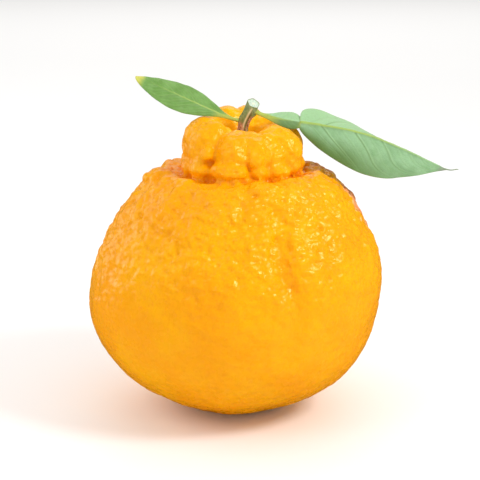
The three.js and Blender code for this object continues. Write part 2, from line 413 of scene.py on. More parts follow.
# %% [markdown]
# A fruit that grew is never quite round. Three slow waves round the body each swell it by under
# one part in a hundred, shallow furrows run down its shoulders, and it sits a little askew.
# It could be sculpted by hand, but sums on the turned points are easier to repeat and to tune.

# %% Swellings and furrows
# Furrows: (turn in degrees, depth, half width in degrees, height of the middle, reach).
FURROWS = [
    (22, 1.1, 7, 68, 20), (74, 0.9, 8, 68, 22), (128, 1.2, 7, 66, 22), (166, 0.8, 6, 68, 20),
    (214, 0.8, 8, 70, 18), (262, 0.6, 6, 70, 14), (291, 2.6, 4.6, 58, 16), (309, 0.7, 5, 60, 16),
    (332, 0.8, 7, 66, 20),
]
FURROW_WANDER = 2.2
# Swellings: (waves round the fruit, size as a share of the radius, where they start in radians).
SWELLINGS = [(2, 0.008, -0.5), (3, 0.009, 1.9), (5, 0.006, 1.6)]
BELLY_TILT = 0.045


def grow_unevenly(points):
    """Broad swellings and furrows, so that the turned body isn't perfectly round."""
    x, y, z = points.T
    a = np.arctan2(y, x)
    r = np.hypot(x, y)
    full = np.minimum(1, r / BELLY_RADIUS)
    swelling = sum(size * np.cos(count * a + start) for count, size, start in SWELLINGS)
    furrow = 0
    for turn, depth, spread, middle, reach in FURROWS:
        wander = FURROW_WANDER * np.sin(z / 7 + turn)
        off = away_from(np.degrees(a) - turn, wander)
        furrow = furrow + depth * hump(off, spread) * hump(z - middle, reach)
    out = r * (1 + swelling * full) - furrow * full
    rise = np.sin(np.pi * np.clip(z / SHOULDER_Z, 0, 1))
    x = out * np.cos(a) + middle_x(z)
    return np.stack([x, out * np.sin(a), z + BELLY_TILT * x * rise], axis=1)


def body_surface():
    """The turned body, as points and quads."""
    outline = fruit_outline()
    a = full_turn(BODY_COLUMNS)
    r, z = outline.T
    x = r[:, None] * np.cos(a)
    y = r[:, None] * np.sin(a)
    points = np.stack([x, y, np.broadcast_to(z[:, None], x.shape)], axis=2).reshape(-1, 3)
    return grow_unevenly(points), quads(len(outline), BODY_COLUMNS, ring=True)


# %% [markdown]
# The collar is built from lobes side by side, with smaller knobs below them in the groove.
# Each row gives the turn round the collar, the distance out, the height, and three half sizes:
# outwards, sideways and upwards. A few flat knobs lie on the shoulder, against the groove.
# Noise would be quicker, but balls placed one by one put each nodule where this fruit has it.

# %% The collar's lobes and knobs
LOBES = [
    (184, 11.2, 86.6, 7.6, 8.2, 9.4), (220, 11.6, 86.6, 7.8, 7.6, 9.0), (262, 11.6, 84.9, 8.4, 7.8, 8.7),
    (285, 11.8, 84.8, 8.0, 6.2, 8.4), (311, 12.2, 83.9, 7.4, 6.0, 7.4), (336, 12.2, 85.2, 8.4, 8.0, 8.7),
    (14, 12.2, 85.6, 7.8, 7.0, 7.8), (48, 12.0, 86.8, 8.0, 7.4, 8.4), (84, 12.0, 88.6, 7.6, 6.6, 9.0),
    (112, 11.8, 88.8, 7.8, 6.4, 9.0), (152, 11.6, 86.6, 7.8, 7.4, 8.8),
]
KNOBS = [
    (259, 17.7, 81.9, 5.6, 6.2, 3.5), (284, 17.2, 85.2, 3.6, 2.9, 2.7), (287, 17.2, 81.4, 4.0, 3.4, 3.0),
    (309, 16.3, 81.2, 5.2, 5.2, 4.0), (207, 16.8, 80.4, 3.2, 2.6, 4.4), (192, 14.8, 81.0, 4.4, 4.0, 4.6),
    (226, 15.7, 81.0, 5.2, 5.4, 4.4), (235, 18.0, 87.2, 2.4, 2.3, 2.4), (273, 17.6, 79.6, 4.0, 3.4, 2.4),
    (243, 16.8, 78.6, 3.2, 2.8, 2.0), (241, 14.6, 84.6, 3.2, 2.8, 2.8), (332, 16.2, 82.0, 4.6, 4.4, 3.8),
    (350, 15.8, 81.4, 4.6, 4.0, 4.6), (34, 15.6, 81.0, 5.2, 5.4, 4.2), (60, 16.0, 84.0, 4.2, 3.6, 3.4),
    (78, 15.8, 80.8, 5.0, 5.2, 3.8), (106, 16.0, 82.6, 4.6, 3.8, 4.0), (130, 15.6, 80.8, 5.2, 5.8, 4.0),
    (150, 16.2, 85.0, 3.8, 3.4, 3.4), (166, 15.4, 81.4, 4.4, 4.4, 4.2),
]
SHOULDER_KNOBS = [
    (286, 24.0, 76.9, 5.5, 7.5, 3.2), (248, 24.5, 76.0, 5.5, 8.0, 3.2), (206, 24.0, 76.8, 5.0, 5.0, 3.0),
    (184, 25.0, 76.4, 6.0, 8.0, 3.5), (60, 24.0, 76.6, 5.5, 7.5, 3.2), (110, 24.0, 77.0, 5.0, 5.5, 3.2),
    (155, 24.0, 76.6, 5.5, 7.0, 3.2),
]
BALL_ROWS = 26
BALL_COLUMNS = 44


def lobe_surface(turn, out, up, *half):
    """A ball stretched to three half sizes and stood in its place round the collar."""
    down = np.linspace(0, np.pi, BALL_ROWS)[:, None]
    across = full_turn(BALL_COLUMNS)
    x = np.sin(down) * np.cos(across)
    y = np.sin(down) * np.sin(across)
    z = np.broadcast_to(np.cos(down), x.shape)
    outwards, sideways, upwards = (np.stack([x, y, z], axis=2).reshape(-1, 3) * half).T
    a = math.radians(turn)
    x = (outwards + out) * math.cos(a) - sideways * math.sin(a) + middle_x(up)
    y = (outwards + out) * math.sin(a) + sideways * math.cos(a)
    faces = quads(BALL_ROWS, BALL_COLUMNS, ring=True)[:, ::-1]
    return np.stack([x, y, upwards + up], axis=1), faces


# %% Melt them into one skin
SKIN_STEP = 0.67
parts = [body_surface(), *(lobe_surface(*lobe) for lobe in LOBES + KNOBS + SHOULDER_KNOBS)]
starts = np.cumsum([0, *(len(points) for points, _ in parts)])
rind = new_piece(
    "rind",
    np.vstack([points for points, _ in parts]),
    np.vstack([faces + start for (_, faces), start in zip(parts, starts)]),
)
settle(rind, "REMESH", mode="VOXEL", voxel_size=SKIN_STEP * MM)
keep_outer_skin(rind)
settle(rind, "SMOOTH", factor=0.5, iterations=3)
print(f"rind: {len(parts)} shapes melted into {triangles(rind)} triangles")

# %% [markdown]
# ## The rind's surface
# The rind is uneven at every scale: broad lumps, pleats that run out of the groove, a rumple
# about as coarse as a grain of rice, and a shallow pit over each oil gland. It is coarsest on
# the shoulders and nearly smooth below. Each layer is a push along the surface's own direction.
# A crease is found by comparing the skin with a much smoother copy of itself, which lies
# above the skin wherever the skin is hollow.

# %% Where the creases are
skin, outward = points_of(rind)
even = rind.copy()
even.data = rind.data.copy()
bpy.context.scene.collection.objects.link(even)
settle(even, "SMOOTH", factor=0.5, iterations=35)
crease = ((points_of(even)[0] - skin) * outward).sum(axis=1)
bpy.data.objects.remove(even)
print(f"creases are up to {crease.max():.2f} mm deep")

# %% Where the crown, the collar and the flat spot are
CROWN_FROM_Z = 28
CROWN_FULL_Z = 74
COLLAR_RADIUS = 20
COLLAR_EDGE = 3
SPOT_EDGE = 7
x, y, z = skin.T
from_axis = np.hypot(x - middle_x(z), y)
turn = np.arctan2(y, x - middle_x(z))
crown = smooth_step(CROWN_FROM_Z, CROWN_FULL_Z, z)
collar = smooth_step(COLLAR_RADIUS + COLLAR_EDGE, COLLAR_RADIUS, from_axis)
collar = collar * smooth_step(SHOULDER_Z - 2, SHOULDER_Z, z)
off_spot = smooth_step(SPOT_RADIUS, SPOT_RADIUS + SPOT_EDGE, from_axis + z)
print(f"{collar.mean():.0%} of the skin's points are on the collar")

# %% Broad lumps, pleats and folds
BROAD_LUMP = 24
SMALL_LUMP = 10
PLEAT_DEPTH = 1.1
PLEAT_RING = 27
FOLD_DEPTH = 0.55
CHEEK_DEPTH = 1.5
CHEEK_TURN = -25
small_lumps = (0.35 + 0.35 * crown) * (1 - 0.5 * collar) * bumps(skin, SMALL_LUMP, 2)
lumps = 0.6 * bumps(skin, BROAD_LUMP, 1) + small_lumps
pleat_line = np.stack([3.2 * np.cos(turn), 3.2 * np.sin(turn), z / 40], axis=1)
by_groove = hump(from_axis - PLEAT_RING, 9) * smooth_step(60, 74, z)
pleats = bumps(pleat_line, 0.55, 3) * by_groove * (1 - collar)
folds = FOLD_DEPTH * np.clip(-crease, -0.7, 0.5) * collar
low_cheek = CHEEK_DEPTH * hump(away_from(np.degrees(turn), CHEEK_TURN), 42) * hump(z - 15, 12)
print(f"lumps {lumps.min():.2f} to {lumps.max():.2f} mm, folds up to {-folds.min():.2f} mm")

# %% Rumple, wrinkles and gland pits
COARSE_RUMPLE = 4.6
FINE_RUMPLE = 2.4
WRINKLE = 3.4
GLAND_SPACING = 2.1
PIT_RADIUS = 0.52
rumple_depth = 0.14 + 0.56 * crown
rumple = rumple_depth * bumps(skin, COARSE_RUMPLE, 4) + rumple_depth * bumps(skin, FINE_RUMPLE, 5)
wrinkles = (0.08 + 0.26 * crown) * bumps(skin * (1, 1, 2.6), WRINKLE, 12) * (1 - collar)
gland = to_nearest_spot(skin, GLAND_SPACING, 7)
pit = np.clip(1 - (gland / PIT_RADIUS) ** 2, 0, 1) ** 1.5 * (0.65 + 0.35 * bumps(skin, 1.8, 8))
rough = rumple * (1 - 0.25 * collar) + wrinkles - (0.06 + 0.26 * crown) * pit
push = off_spot * (lumps + PLEAT_DEPTH * pleats + rough + folds + low_cheek)
moved = skin + outward * push[:, None]
print(f"pushed by {push.min():.2f} to {push.max():.2f} mm")

# %% [markdown]
# Under the fruit the blossom left a small round scar in a shallow dimple. On the shoulder
# behind the larger leaf, a branch has rubbed the rind to two brown, corky patches, whose ragged
# edges come from noise. The patch by the collar stands a little proud of the rind round it.
# Each is made by how far a point of the skin is from a middle, so no line has to be drawn.

# %% The dimple under the fruit
DIMPLE_DEPTH = 1.1
DIMPLE_RADIUS = 5.5
NAVEL_RADIUS = 1.6
under = smooth_step(3, 1, z)
moved[:, 2] += under * DIMPLE_DEPTH * hump(from_axis, DIMPLE_RADIUS)
navel = under * hump(from_axis, NAVEL_RADIUS)
print(f"dimple {DIMPLE_DEPTH} mm deep")

# %% The rubbed patches
# (turn in degrees, distance from the axis, height, half width, half length, how far it is raised).
RUBS = [(27, 30, 75.5, 11.0, 9.5, 0.6), (3, 37, 68.0, 9.5, 8.0, 0.0)]
CORK_DEPTH = 0.1
CORK_GRAIN_DEPTH = 0.12


def from_rub(turn, out, up, half_width, half_length):
    """How far each point of the skin is from a rub's middle: 1 at the rub's edge."""
    a = math.radians(turn)
    offset = skin - (out * math.cos(a) + middle_x(up), out * math.sin(a), up)
    across = offset @ (-math.sin(a), math.cos(a), 0)
    lengthwise = np.sqrt(np.maximum((offset**2).sum(axis=1) - across**2, 0))
    return np.hypot(across / half_width, lengthwise / half_length)


ragged = 0.34 * bumps(skin, 3.4, 9) + 0.26 * bumps(skin, 1.4, 10)
scar = np.zeros(len(skin))
raised = np.zeros(len(skin))
for *place, raised_by in RUBS:
    off = from_rub(*place)
    scar = np.maximum(scar, smooth_step(1.08, 0.86, off + ragged))
    raised = np.maximum(raised, raised_by * hump(off, 1.0))
scar = scar * (1 - collar)
cork_grain = bumps(skin * (0.5, 2.0, 0.8), 1.3, 11)
cork_rise = scar * (CORK_DEPTH + CORK_GRAIN_DEPTH * cork_grain)
moved += outward * (raised * (1 - collar) + cork_rise)[:, None]
print(f"{scar.mean():.1%} of the skin's points are corky")

# %% Shape and mark the rind
DEEP_CREASE = 0.6
moved[:, 2] = np.maximum(moved[:, 2], 0)
move_points(rind, moved)
rind_notes = {
    "pit": pit,
    # crease also carries painted shade: the finish paints the creases darker and redder.
    "crease": crease / DEEP_CREASE * smooth_step(4, 12, from_axis),
    "crown": crown * (1 - 0.45 * collar),
    "scar": scar,
    # hollow carries painted light: the shaded hollow gets a brighter colour and a faint glow.
    "hollow": collar * smooth_step(14, 8, from_axis),
    "navel": navel,
}
for name, values in rind_notes.items():
    note(rind, name, values)
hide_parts("fruit")
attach(rind, "root")
print("rind notes:", ", ".join(rind_notes))

# %% [markdown]
# ## The rind's finish
# Mandarin rind is a waxy, slightly see-through skin: light enters it, turns deep orange and
# comes out again, so a little subsurface scattering is on. Gland pits and folds are painted
# darker and redder, as painted shade for the light that bounces in them. The oil glands also
# show as fine darker dots, their own colour. The hollow lies in shade, yet light also comes
# through the collar's thin wall. Scattering doesn't reach that far, so the hollow is painted
# brighter and a faint orange glow stands in for it: both are painted light. The colours are
# blended one over another, from the ground colour up.

# %% Rind colours
ORANGE = (0.95, 0.365, 0.0)
GOLDEN = (0.97, 0.425, 0.0)
# Painted shade: the creases are painted this darker, redder orange.
CREASE_PAINTED_SHADE = (0.78, 0.20, 0.0)
# Fine gland dots, the rind's own colour, and painted shade in the gland pits.
GLAND_DOTS_AND_PIT_SHADE = (0.90, 0.285, 0.0)
# Painted light: the shaded hollow is painted this brighter orange and given a faint glow.
HOLLOW_PAINTED_LIGHT = (1.0, 0.45, 0.0)
HOLLOW_GLOW = (0.20, 0.065, 0.0)
NO_GLOW = (0.0, 0.0, 0.0)
CORK = (0.92, 0.33, 0.12)
CORK_DARK = (0.66, 0.21, 0.06)
CORK_PALE = (1.0, 0.63, 0.34)
WAX_TINT = (1.0, 0.82, 0.42)


# %% Rind
def rub_over(finish, here, grain, colour):
    """The corky patches, over the rind's colour: a pale rim, then dark and light cork."""
    scars = finish.noted("scar")
    cork = finish.blend(grain.ramp(0.36, 0.62), CORK_DARK, CORK)
    cork = finish.blend(finish.cloud(here, 2.4).ramp(0.52, 0.75), cork, CORK_PALE)
    colour = finish.blend(scars.ramp(0.02, 0.22), colour, finish.blend(0.55, GOLDEN, CORK_PALE))
    return finish.blend(scars.ramp(0.25, 0.6), colour, cork)


def rind_finish():
    """Orange skin with glands, painted shade in pits and folds, the hollow's painted light and glow, the
    rubbed patches and the blossom's scar.
    """
    finish = Finish("rind", Subsurface_Weight=0.05, Subsurface_Scale=0.0015,
                    Subsurface_Radius=(1.0, 0.3, 0.04), Specular_IOR_Level=0.5,
                    Specular_Tint=WAX_TINT, Emission_Strength=1.0)
    here = finish.place()
    pits, hollow = finish.noted("pit"), finish.noted("hollow")
    dots = finish.spots(here, 1.25).ramp(0.42, 0.12)
    colour = finish.blend(finish.cloud(here, 16, detail=3).ramp(0.35, 0.7), ORANGE, GOLDEN)
    # The gland dots are their own colour. The gland pits get painted shade, darker and redder.
    colour = finish.blend(pits * 0.26 + dots * 0.28, colour, GLAND_DOTS_AND_PIT_SHADE)
    # Painted light: the hollow's colour is lifted where it lies in shade.
    colour = finish.blend(hollow, colour, HOLLOW_PAINTED_LIGHT)
    # Painted shade: the creases are painted darker and redder.
    colour = finish.blend(finish.noted("crease").ramp(0.1, 0.85) * 0.8, colour, CREASE_PAINTED_SHADE)
    grain = finish.cloud(finish.place(0.5, 2.0, 0.8), 1.1, detail=4, roughness=0.65)
    colour = rub_over(finish, here, grain, colour)
    colour = finish.blend(finish.noted("navel"), colour, CORK)
    scars = finish.noted("scar")
    glands = finish.spots(here, 1.9).ramp(0.05, 0.65) * (0.2 + 0.8 * finish.noted("crown"))
    fine = finish.cloud(here, 0.9, detail=2) * 0.25 - dots * 0.12 + grain * scars + glands
    finish.wear(
        rind,
        Base_Color=colour,
        Roughness=0.22 + 0.10 * finish.cloud(here, 3.5) + 0.08 * pits + 0.4 * scars,
        # Painted light: a faint orange glow in the hollow.
        Emission_Color=finish.blend(hollow, NO_GLOW, HOLLOW_GLOW),
        Normal=finish.raised(fine, 0.2),
    )


rind_finish()

# %% [markdown]
# ## The calyx
# Where the stalk meets the fruit sits the calyx: a thick green star with five blunt tips.
# It is made as a disc in rings, whose reach and height follow the turn round it. One set of
# rings runs out under the star, and a second set runs back over it to the middle.

# %% Calyx
CALYX_RADIUS = 4.6
CALYX_THICKNESS = 1.1
CALYX_TIPS = 5
CALYX_Z = HOLLOW_Z + 0.3
CALYX_RINGS = 30
CALYX_COLUMNS = 150


def calyx_piece():
    """The star. Each ring is a share of the way from its middle to its edge."""
    a = full_turn(CALYX_COLUMNS)
    tip = 0.5 + 0.5 * np.cos(CALYX_TIPS * a)
    reach = CALYX_RADIUS * (0.66 + 0.34 * tip**1.4) * (1 + 0.03 * np.sin(3 * a + 1))
    outwards = np.linspace(0, 1, CALYX_RINGS)
    below = [(share, False) for share in outwards]
    above = [(share, True) for share in outwards[-2::-1]]
    rings = []
    for share, on_top in below + above:
        edge = math.sqrt(max(0.0, 1 - share**6))
        lift = (1 - 0.35 * share**2) * edge if on_top else 0.25 * (1 - edge)
        cup = 0.55 * tip * share**2 + 0.12 * np.cos(2 * CALYX_TIPS * a) * share
        x = middle_x(HOLLOW_Z) + reach * share * np.cos(a)
        y = reach * share * np.sin(a)
        rings.append(np.stack([x, y, CALYX_Z + CALYX_THICKNESS * 0.75 * lift + cup], axis=1))
    piece = new_piece("calyx_star", np.vstack(rings), quads(len(rings), CALYX_COLUMNS, ring=True))
    note(piece, "rim", np.repeat([share for share, _ in below + above], CALYX_COLUMNS))
    close_up(piece)
    return piece


calyx = calyx_piece()
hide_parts("calyx")
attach(calyx, "root")
print("calyx:", triangles(calyx), "triangles")

# %% [markdown]
# The calyx is dry and dull, with a rim that has turned brown. A painted picture could be wrapped
# round it, but noise has no seams and stays sharp close up. So fine noise mottles two greens,
# and the notes on the rings say where the rim is.

# %% Calyx finish
CALYX_GREEN = (0.19, 0.26, 0.06)
CALYX_LIGHT = (0.42, 0.46, 0.16)
CALYX_BROWN = (0.40, 0.26, 0.10)


def calyx_finish():
    """Mottled green with a brown rim."""
    finish = Finish("calyx", Specular_IOR_Level=0.3)
    grain = finish.cloud(finish.place(), 0.5, detail=4, roughness=0.6)
    colour = finish.blend(grain.ramp(0.3, 0.7), CALYX_GREEN, CALYX_LIGHT)
    colour = finish.blend(finish.noted("rim").ramp(0.7, 1.0) * 0.7, colour, CALYX_BROWN)
    finish.wear(calyx, Base_Color=colour, Roughness=0.6 + 0.2 * grain, Normal=finish.raised(grain, 0.12))


calyx_finish()

# %% [markdown]
# ## The stalk
# The stalk is a green twig with five ribs. It thickens where the leaves join it and at its
# slanting cut, and cork has grown up one side. One tube, closed over the cut, gives all this:
# its radius follows the height and the turn, and notes on its points say where cork and ribs are.

# %% The stalk's shape
STALK_FOOT = np.array([float(middle_x(HOLLOW_Z)), 0, HOLLOW_Z + 1.7])
STALK_BEND = STALK_FOOT + (0.9, -0.1, 4.4)
STALK_TIP = np.array([6.1, -0.6, 100.6])
STALK_RADIUS = 1.6
STALK_RIBS = 5
STALK_ROWS = 130
STALK_COLUMNS = 120
CUT_SLOPE = 0.42
CUT_ROWS = 25


def twig_marks(degrees, rise):
    """From 0 to 1: the cork, a raised ridge, and the groove beside it."""
    cork_edge = 0.36 + 0.3 * hump(away_from(degrees, 318), 22) - 0.5 * hump(away_from(degrees, 294), 14)
    cork = smooth_step(0.06, -0.06, rise - cork_edge) * smooth_step(75, 60, np.abs(away_from(degrees, 255)))
    strip = smooth_step(24, 12, np.abs(away_from(degrees, 322)))
    strip = strip * smooth_step(0.68, 0.6, rise) * smooth_step(0.2, 0.3, rise)
    ridge = hump(away_from(degrees, 262 + 16 * rise), 9)
    ridge = ridge * smooth_step(0.12, 0.3, rise) * smooth_step(0.97, 0.85, rise)
    groove = hump(away_from(degrees, 290 + 10 * rise), 10) * smooth_step(0.85, 0.6, rise)
    return np.maximum(cork, strip), ridge, groove


def twig_radius(a, rise, ridge, groove):
    """A ribbed twig that widens at both ends and swells where the two leaves join it."""
    degrees = np.degrees(a)
    radius = STALK_RADIUS + 0.38 * rise**1.5 + 0.25 * hump(rise, 0.12)
    radius = radius * (1 + 0.06 * np.cos(STALK_RIBS * a + 2.2 * rise + 1.2))
    radius = radius + 0.75 * hump(away_from(degrees, 2), 34) * hump(rise - 0.74, 0.13)
    radius = radius + 0.35 * hump(away_from(degrees, 188), 36) * hump(rise - 0.44, 0.12)
    return radius + 0.16 * ridge - 0.2 * groove


# %% [markdown]
# The tube's rows are cut square to its line. Near the top each row leans more and more, so that
# the last row slants. Rings that shrink from that last row close the cut, which is dished a
# little, with the pith standing proud in the middle.

# %% The stalk's mesh
def bark_rows(a, rise, radius, cork):
    """The tube's rows of points, roughest on the cork, and the direction of its last step."""
    line = spline([STALK_FOOT, STALK_BEND, STALK_TIP], STALK_ROWS)
    along = unit(np.gradient(line, axis=0))
    side = unit(np.cross((0, 1, 0), along))
    back = np.cross(along, side)
    flat = np.stack([radius * np.cos(a), radius * np.sin(a)], axis=2)
    spread = np.stack(np.broadcast_arrays(4 * np.cos(a), 4 * np.sin(a), 9 * rise), axis=2)
    rough = bumps(spread.reshape(-1, 3), 1.0, 21).reshape(radius.shape)
    flat *= (1 + (0.02 + 0.07 * cork) * rough)[:, :, None]
    slant = CUT_SLOPE * flat[:, :, 1] * rise**6
    tube = (line[:, None] + flat[:, :, :1] * side[:, None] + flat[:, :, 1:] * back[:, None]
            + slant[:, :, None] * along[:, None])
    return tube, along[-1]


def stalk_piece():
    """The twig: a foot closed in one point, the bark, and the cut with its dished face."""
    a = full_turn(STALK_COLUMNS)[None, :]
    rise = np.linspace(0, 1, STALK_ROWS)[:, None]
    cork, ridge, groove = twig_marks(np.degrees(a), rise)
    tube, up_the_twig = bark_rows(a, rise, twig_radius(a, rise, ridge, groove), cork)
    rim = tube[-1]
    middle = rim.mean(axis=0)
    share = np.linspace(1, 0, CUT_ROWS + 1)[1:, None, None]
    dish = 0.22 * smooth_step(1.0, 0.82, share) - 0.16 * hump(share, 0.18)
    cut = middle + (rim - middle) * share - dish * up_the_twig
    foot = np.broadcast_to(tube[:1].mean(axis=1, keepdims=True), tube[:1].shape)
    grid = np.concatenate([foot, tube, cut])
    piece = new_piece("twig", grid.reshape(-1, 3), quads(len(grid), STALK_COLUMNS, ring=True))
    for name, on_bark, on_cut in (
        ("cork", cork, 0), ("ridge", ridge, 0), ("groove", groove, 0),
        ("cut", 0, 1), ("cut_share", 1, share[:, :, 0]), ("height", rise, 1),
    ):
        on_bark = np.broadcast_to(on_bark, tube.shape[:2])
        on_cut = np.broadcast_to(on_cut, cut.shape[:2])
        note(piece, name, np.concatenate([on_bark[:1], on_bark, on_cut]))
    close_up(piece)
    return piece


twig = stalk_piece()
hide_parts("stalk")
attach(twig, "root")
print("twig:", triangles(twig), "triangles")

# %% [markdown]
# The bark is green, with fibres that run up it, so its noise is squeezed across the twig and
# drawn out along it. Cork is brown and specked, the ridge is straw-coloured, and the fresh cut
# shows pale green wood with whiter pith and a dark edge of bark. Each colour is laid over the
# last one by a note, so that colour and shape always agree.

# %% Stalk finish
BARK_GREEN = (0.10, 0.16, 0.03)
BARK_LIGHT = (0.34, 0.38, 0.15)
BARK_TOP = (0.25, 0.33, 0.17)
TWIG_CORK_DARK = (0.22, 0.10, 0.05)
TWIG_CORK_LIGHT = (0.62, 0.36, 0.24)
RIDGE_STRAW = (0.72, 0.60, 0.36)
GROOVE_BROWN = (0.13, 0.07, 0.015)
WOOD = (0.48, 0.60, 0.46)
WOOD_LIGHT = (0.68, 0.78, 0.66)
PITH = (0.80, 0.80, 0.62)
CUT_EDGE = (0.30, 0.38, 0.20)


def cut_colour(finish, fibres):
    """The cut's rings: pith in the middle, wood, then the bark's edge."""
    share = finish.noted("cut_share")
    wood = finish.blend(fibres.ramp(0.35, 0.65), WOOD, WOOD_LIGHT)
    wood = finish.blend(share.ramp(0.35, 0.1), wood, PITH)
    return finish.blend(share.ramp(0.84, 0.95), wood, CUT_EDGE)


def twig_finish():
    """Green bark, cork, ridge and groove, and the cut's wood over them all."""
    finish = Finish("twig", Subsurface_Weight=0.06, Subsurface_Scale=0.001, Specular_IOR_Level=0.35)
    fibres = finish.cloud(finish.place(3.2, 3.2, 0.5), 1.0, detail=4, roughness=0.6)
    specks = finish.cloud(finish.place(), 0.45, detail=3)
    colour = finish.blend(fibres.ramp(0.3, 0.7), BARK_GREEN, BARK_LIGHT)
    colour = finish.blend(finish.noted("height").ramp(0.55, 1.0) * 0.4, colour, BARK_TOP)
    cork = finish.blend(specks.ramp(0.35, 0.65), TWIG_CORK_DARK, TWIG_CORK_LIGHT)
    colour = finish.blend(finish.noted("cork"), colour, cork)
    colour = finish.blend(finish.noted("ridge") * 0.9, colour, RIDGE_STRAW)
    colour = finish.blend(finish.noted("groove") * 0.85, colour, GROOVE_BROWN)
    colour = finish.blend(finish.noted("cut"), colour, cut_colour(finish, fibres))
    rough = 0.5 + 0.25 * specks
    finish.wear(twig, Base_Color=colour, Roughness=rough, Normal=finish.raised(fibres + specks, 0.12))


twig_finish()

# %% [markdown]
# ## Leaves
# A leaf is a thin sheet hung on its midrib. Here the midrib is a spline, and each half of the
# blade leaves it at its own slope and curls on from there. Side veins curve out from the midrib
# and bend along the margin; they stand proud on the underside and are faint grooves on top.
# The sheet gets a front and a back that meet at the margin, so that the leaf is a closed solid.
# The front half is the one on the -Y side of the midrib.

# %% The leaves' measures
# midrib: points along it. blade: where it starts and ends, as shares of the midrib's length.
# stem: its half width at its base, along the leaf and at its end. rib: how far the midrib stands out.
# front and back: each half's width, its slope at the stem end and at the tip in degrees, with how
# fast the one turns into the other, its curl, and its outline: skew, then how pointed each end is.
# veins: (where one starts, how strong it is). underside: 1 if it faces the front, -1 if the top does.
# waves: their size on the front and the back half, and how many there are.
SMALL_LEAF = {
    "midrib": [(1.4, -0.6, 95), (-2.8, -1.2, 96.4), (-14.2, -1.6, 101.6), (-25, -1.6, 106.6),
               (-31, -1.6, 109.2)],
    "blade": (0.04, 1.0),
    "stem": (0.62, 0.3, 0.1),
    "front": {"width": 5.0, "slope": (42, 44, 1), "curl": 12, "outline": (1.25, 1.5, 0.6)},
    "back": {"width": 5.9, "slope": (-40, -38, 1), "curl": 6, "outline": (0.95, 1.6, 0.9)},
    "rib": 0.28,
    "veins": [(0.10, 0.6), (0.20, 1), (0.30, 0.7), (0.40, 1), (0.50, 0.7), (0.60, 1), (0.70, 0.6),
              (0.80, 0.6)],
    "underside": -1,
    "waves": (0.12, 0.05, 7),
}
WING = {
    "midrib": [(6.5, -0.8, 97.9), (9.6, -1, 96.6), (15.4, -1, 95.2), (20.9, -1, 94.3)],
    "blade": (-0.12, 1.06),
    "stem": (0.8, 0.42, 0.5),
    "front": {"width": 2.2, "slope": (44, 44, 1), "curl": 12, "outline": (2.6, 1, 0.6)},
    "back": {"width": 4.6, "slope": (-34, -34, 1), "curl": 8, "outline": (2.6, 1, 0.6)},
    "rib": 0.62,
    "veins": [(0.40, 0.4), (0.6, 0.4), (0.78, 0.3)],
    "underside": 1,
    "waves": (0.05, 0.05, 3),
}
LARGE_LEAF = {
    "midrib": [(20.5, -1, 94.3), (28, -1.4, 93.3), (42, -2, 90.4), (54, -2.6, 85.7), (66.6, -3, 80),
               (71.4, -3, 79.7)],
    "blade": (0.0, 0.93),
    "stem": (0.6, 0.36, 0.16),
    "front": {"width": 12.0, "slope": (41, 56, 1), "curl": 18, "outline": (0.95, 0.65, 1.2)},
    "back": {"width": 13.2, "slope": (-54, 26, 0.5), "curl": 6, "outline": (0.92, 0.35, 1.2)},
    "rib": 0.6,
    "veins": [(0.04, 0.5), (0.13, 1), (0.20, 0.3), (0.26, 0.4), (0.35, 1), (0.43, 0.3), (0.51, 0.85),
              (0.59, 0.3), (0.67, 0.45), (0.76, 0.35), (0.84, 0.35)],
    "underside": 1,
    "waves": (0.35, 0.12, 5),
}
BLADE_HALF = 0.2
VEIN_REACH = (0.20, 0.12)
VEIN_HALF = 0.30
VEIN_STAGGER = 0.018
VEIN_SLANT = 0.8
QUILT_HALF = 1.1
QUILT_DEPTH = 0.22
BLADE_LIFT = 0.1
END_SHARE = 0.012
COLUMN_CROWDING = 1.25


# %% A leaf's middle surface
def blade_outline(t, skew, base, tip):
    """Half the blade's width along its midrib: skew moves the widest place."""
    t = np.clip(t, 0, 1)
    return np.sin(np.pi * t**skew) ** (base + (tip - base) * t)


def stem_width(leaf, t):
    """The half width of the stem, which goes on as the midrib."""
    thick, thin, end = leaf["stem"]
    return thin + (thick - thin) * hump(t, 0.13) + (end - thin) * smooth_step(0.8, 1.0, t)


def axes_along(midrib):
    """At each point of the midrib, two directions square to it: level and to the front, and up."""
    along = unit(np.gradient(midrib, axis=0))
    level = unit(np.array([0, -1, 0]) + along * along[:, 1:2])
    up = np.cross(level, along)
    return level[:, None], (up * np.sign(up[:, 2:]))[:, None]


def leaf_sheet(leaf, t, s):
    """The leaf's middle surface, t along it and s across it, and its half width at each point."""
    midrib = spline(leaf["midrib"], len(t))
    level, up = axes_along(midrib)
    first, last = leaf["blade"]
    sheet = np.empty((len(t), len(s), 3))
    width = np.empty((len(t), len(s)))
    for half, chosen in (("front", s > 0), ("back", s <= 0)):
        shape = leaf[half]
        low, high, ease = shape["slope"]
        reach = shape["width"] * blade_outline((t - first) / (last - first), *shape["outline"])
        reach = (stem_width(leaf, t) + reach)[:, None]
        span = np.abs(s[chosen])
        slope = np.radians((low + (high - low) * t**ease)[:, None] + shape["curl"] * span)
        sideways = np.sign(s[chosen]) * reach * span * np.cos(slope)
        downwards = reach * span * np.sin(slope)
        sheet[:, chosen] = midrib[:, None] + sideways[:, :, None] * level - downwards[:, :, None] * up
        width[:, chosen] = reach
    return sheet, width, np.linalg.norm(np.diff(midrib, axis=0), axis=1).sum()


def facing_of(sheet):
    """The direction that the sheet faces at each point, to the front and upwards."""
    facing = unit(np.cross(np.gradient(sheet, axis=0), np.gradient(sheet, axis=1)))
    rows, columns = facing.shape[:2]
    return facing if facing[rows // 2, columns // 2] @ (0, -1, 1) > 0 else -facing


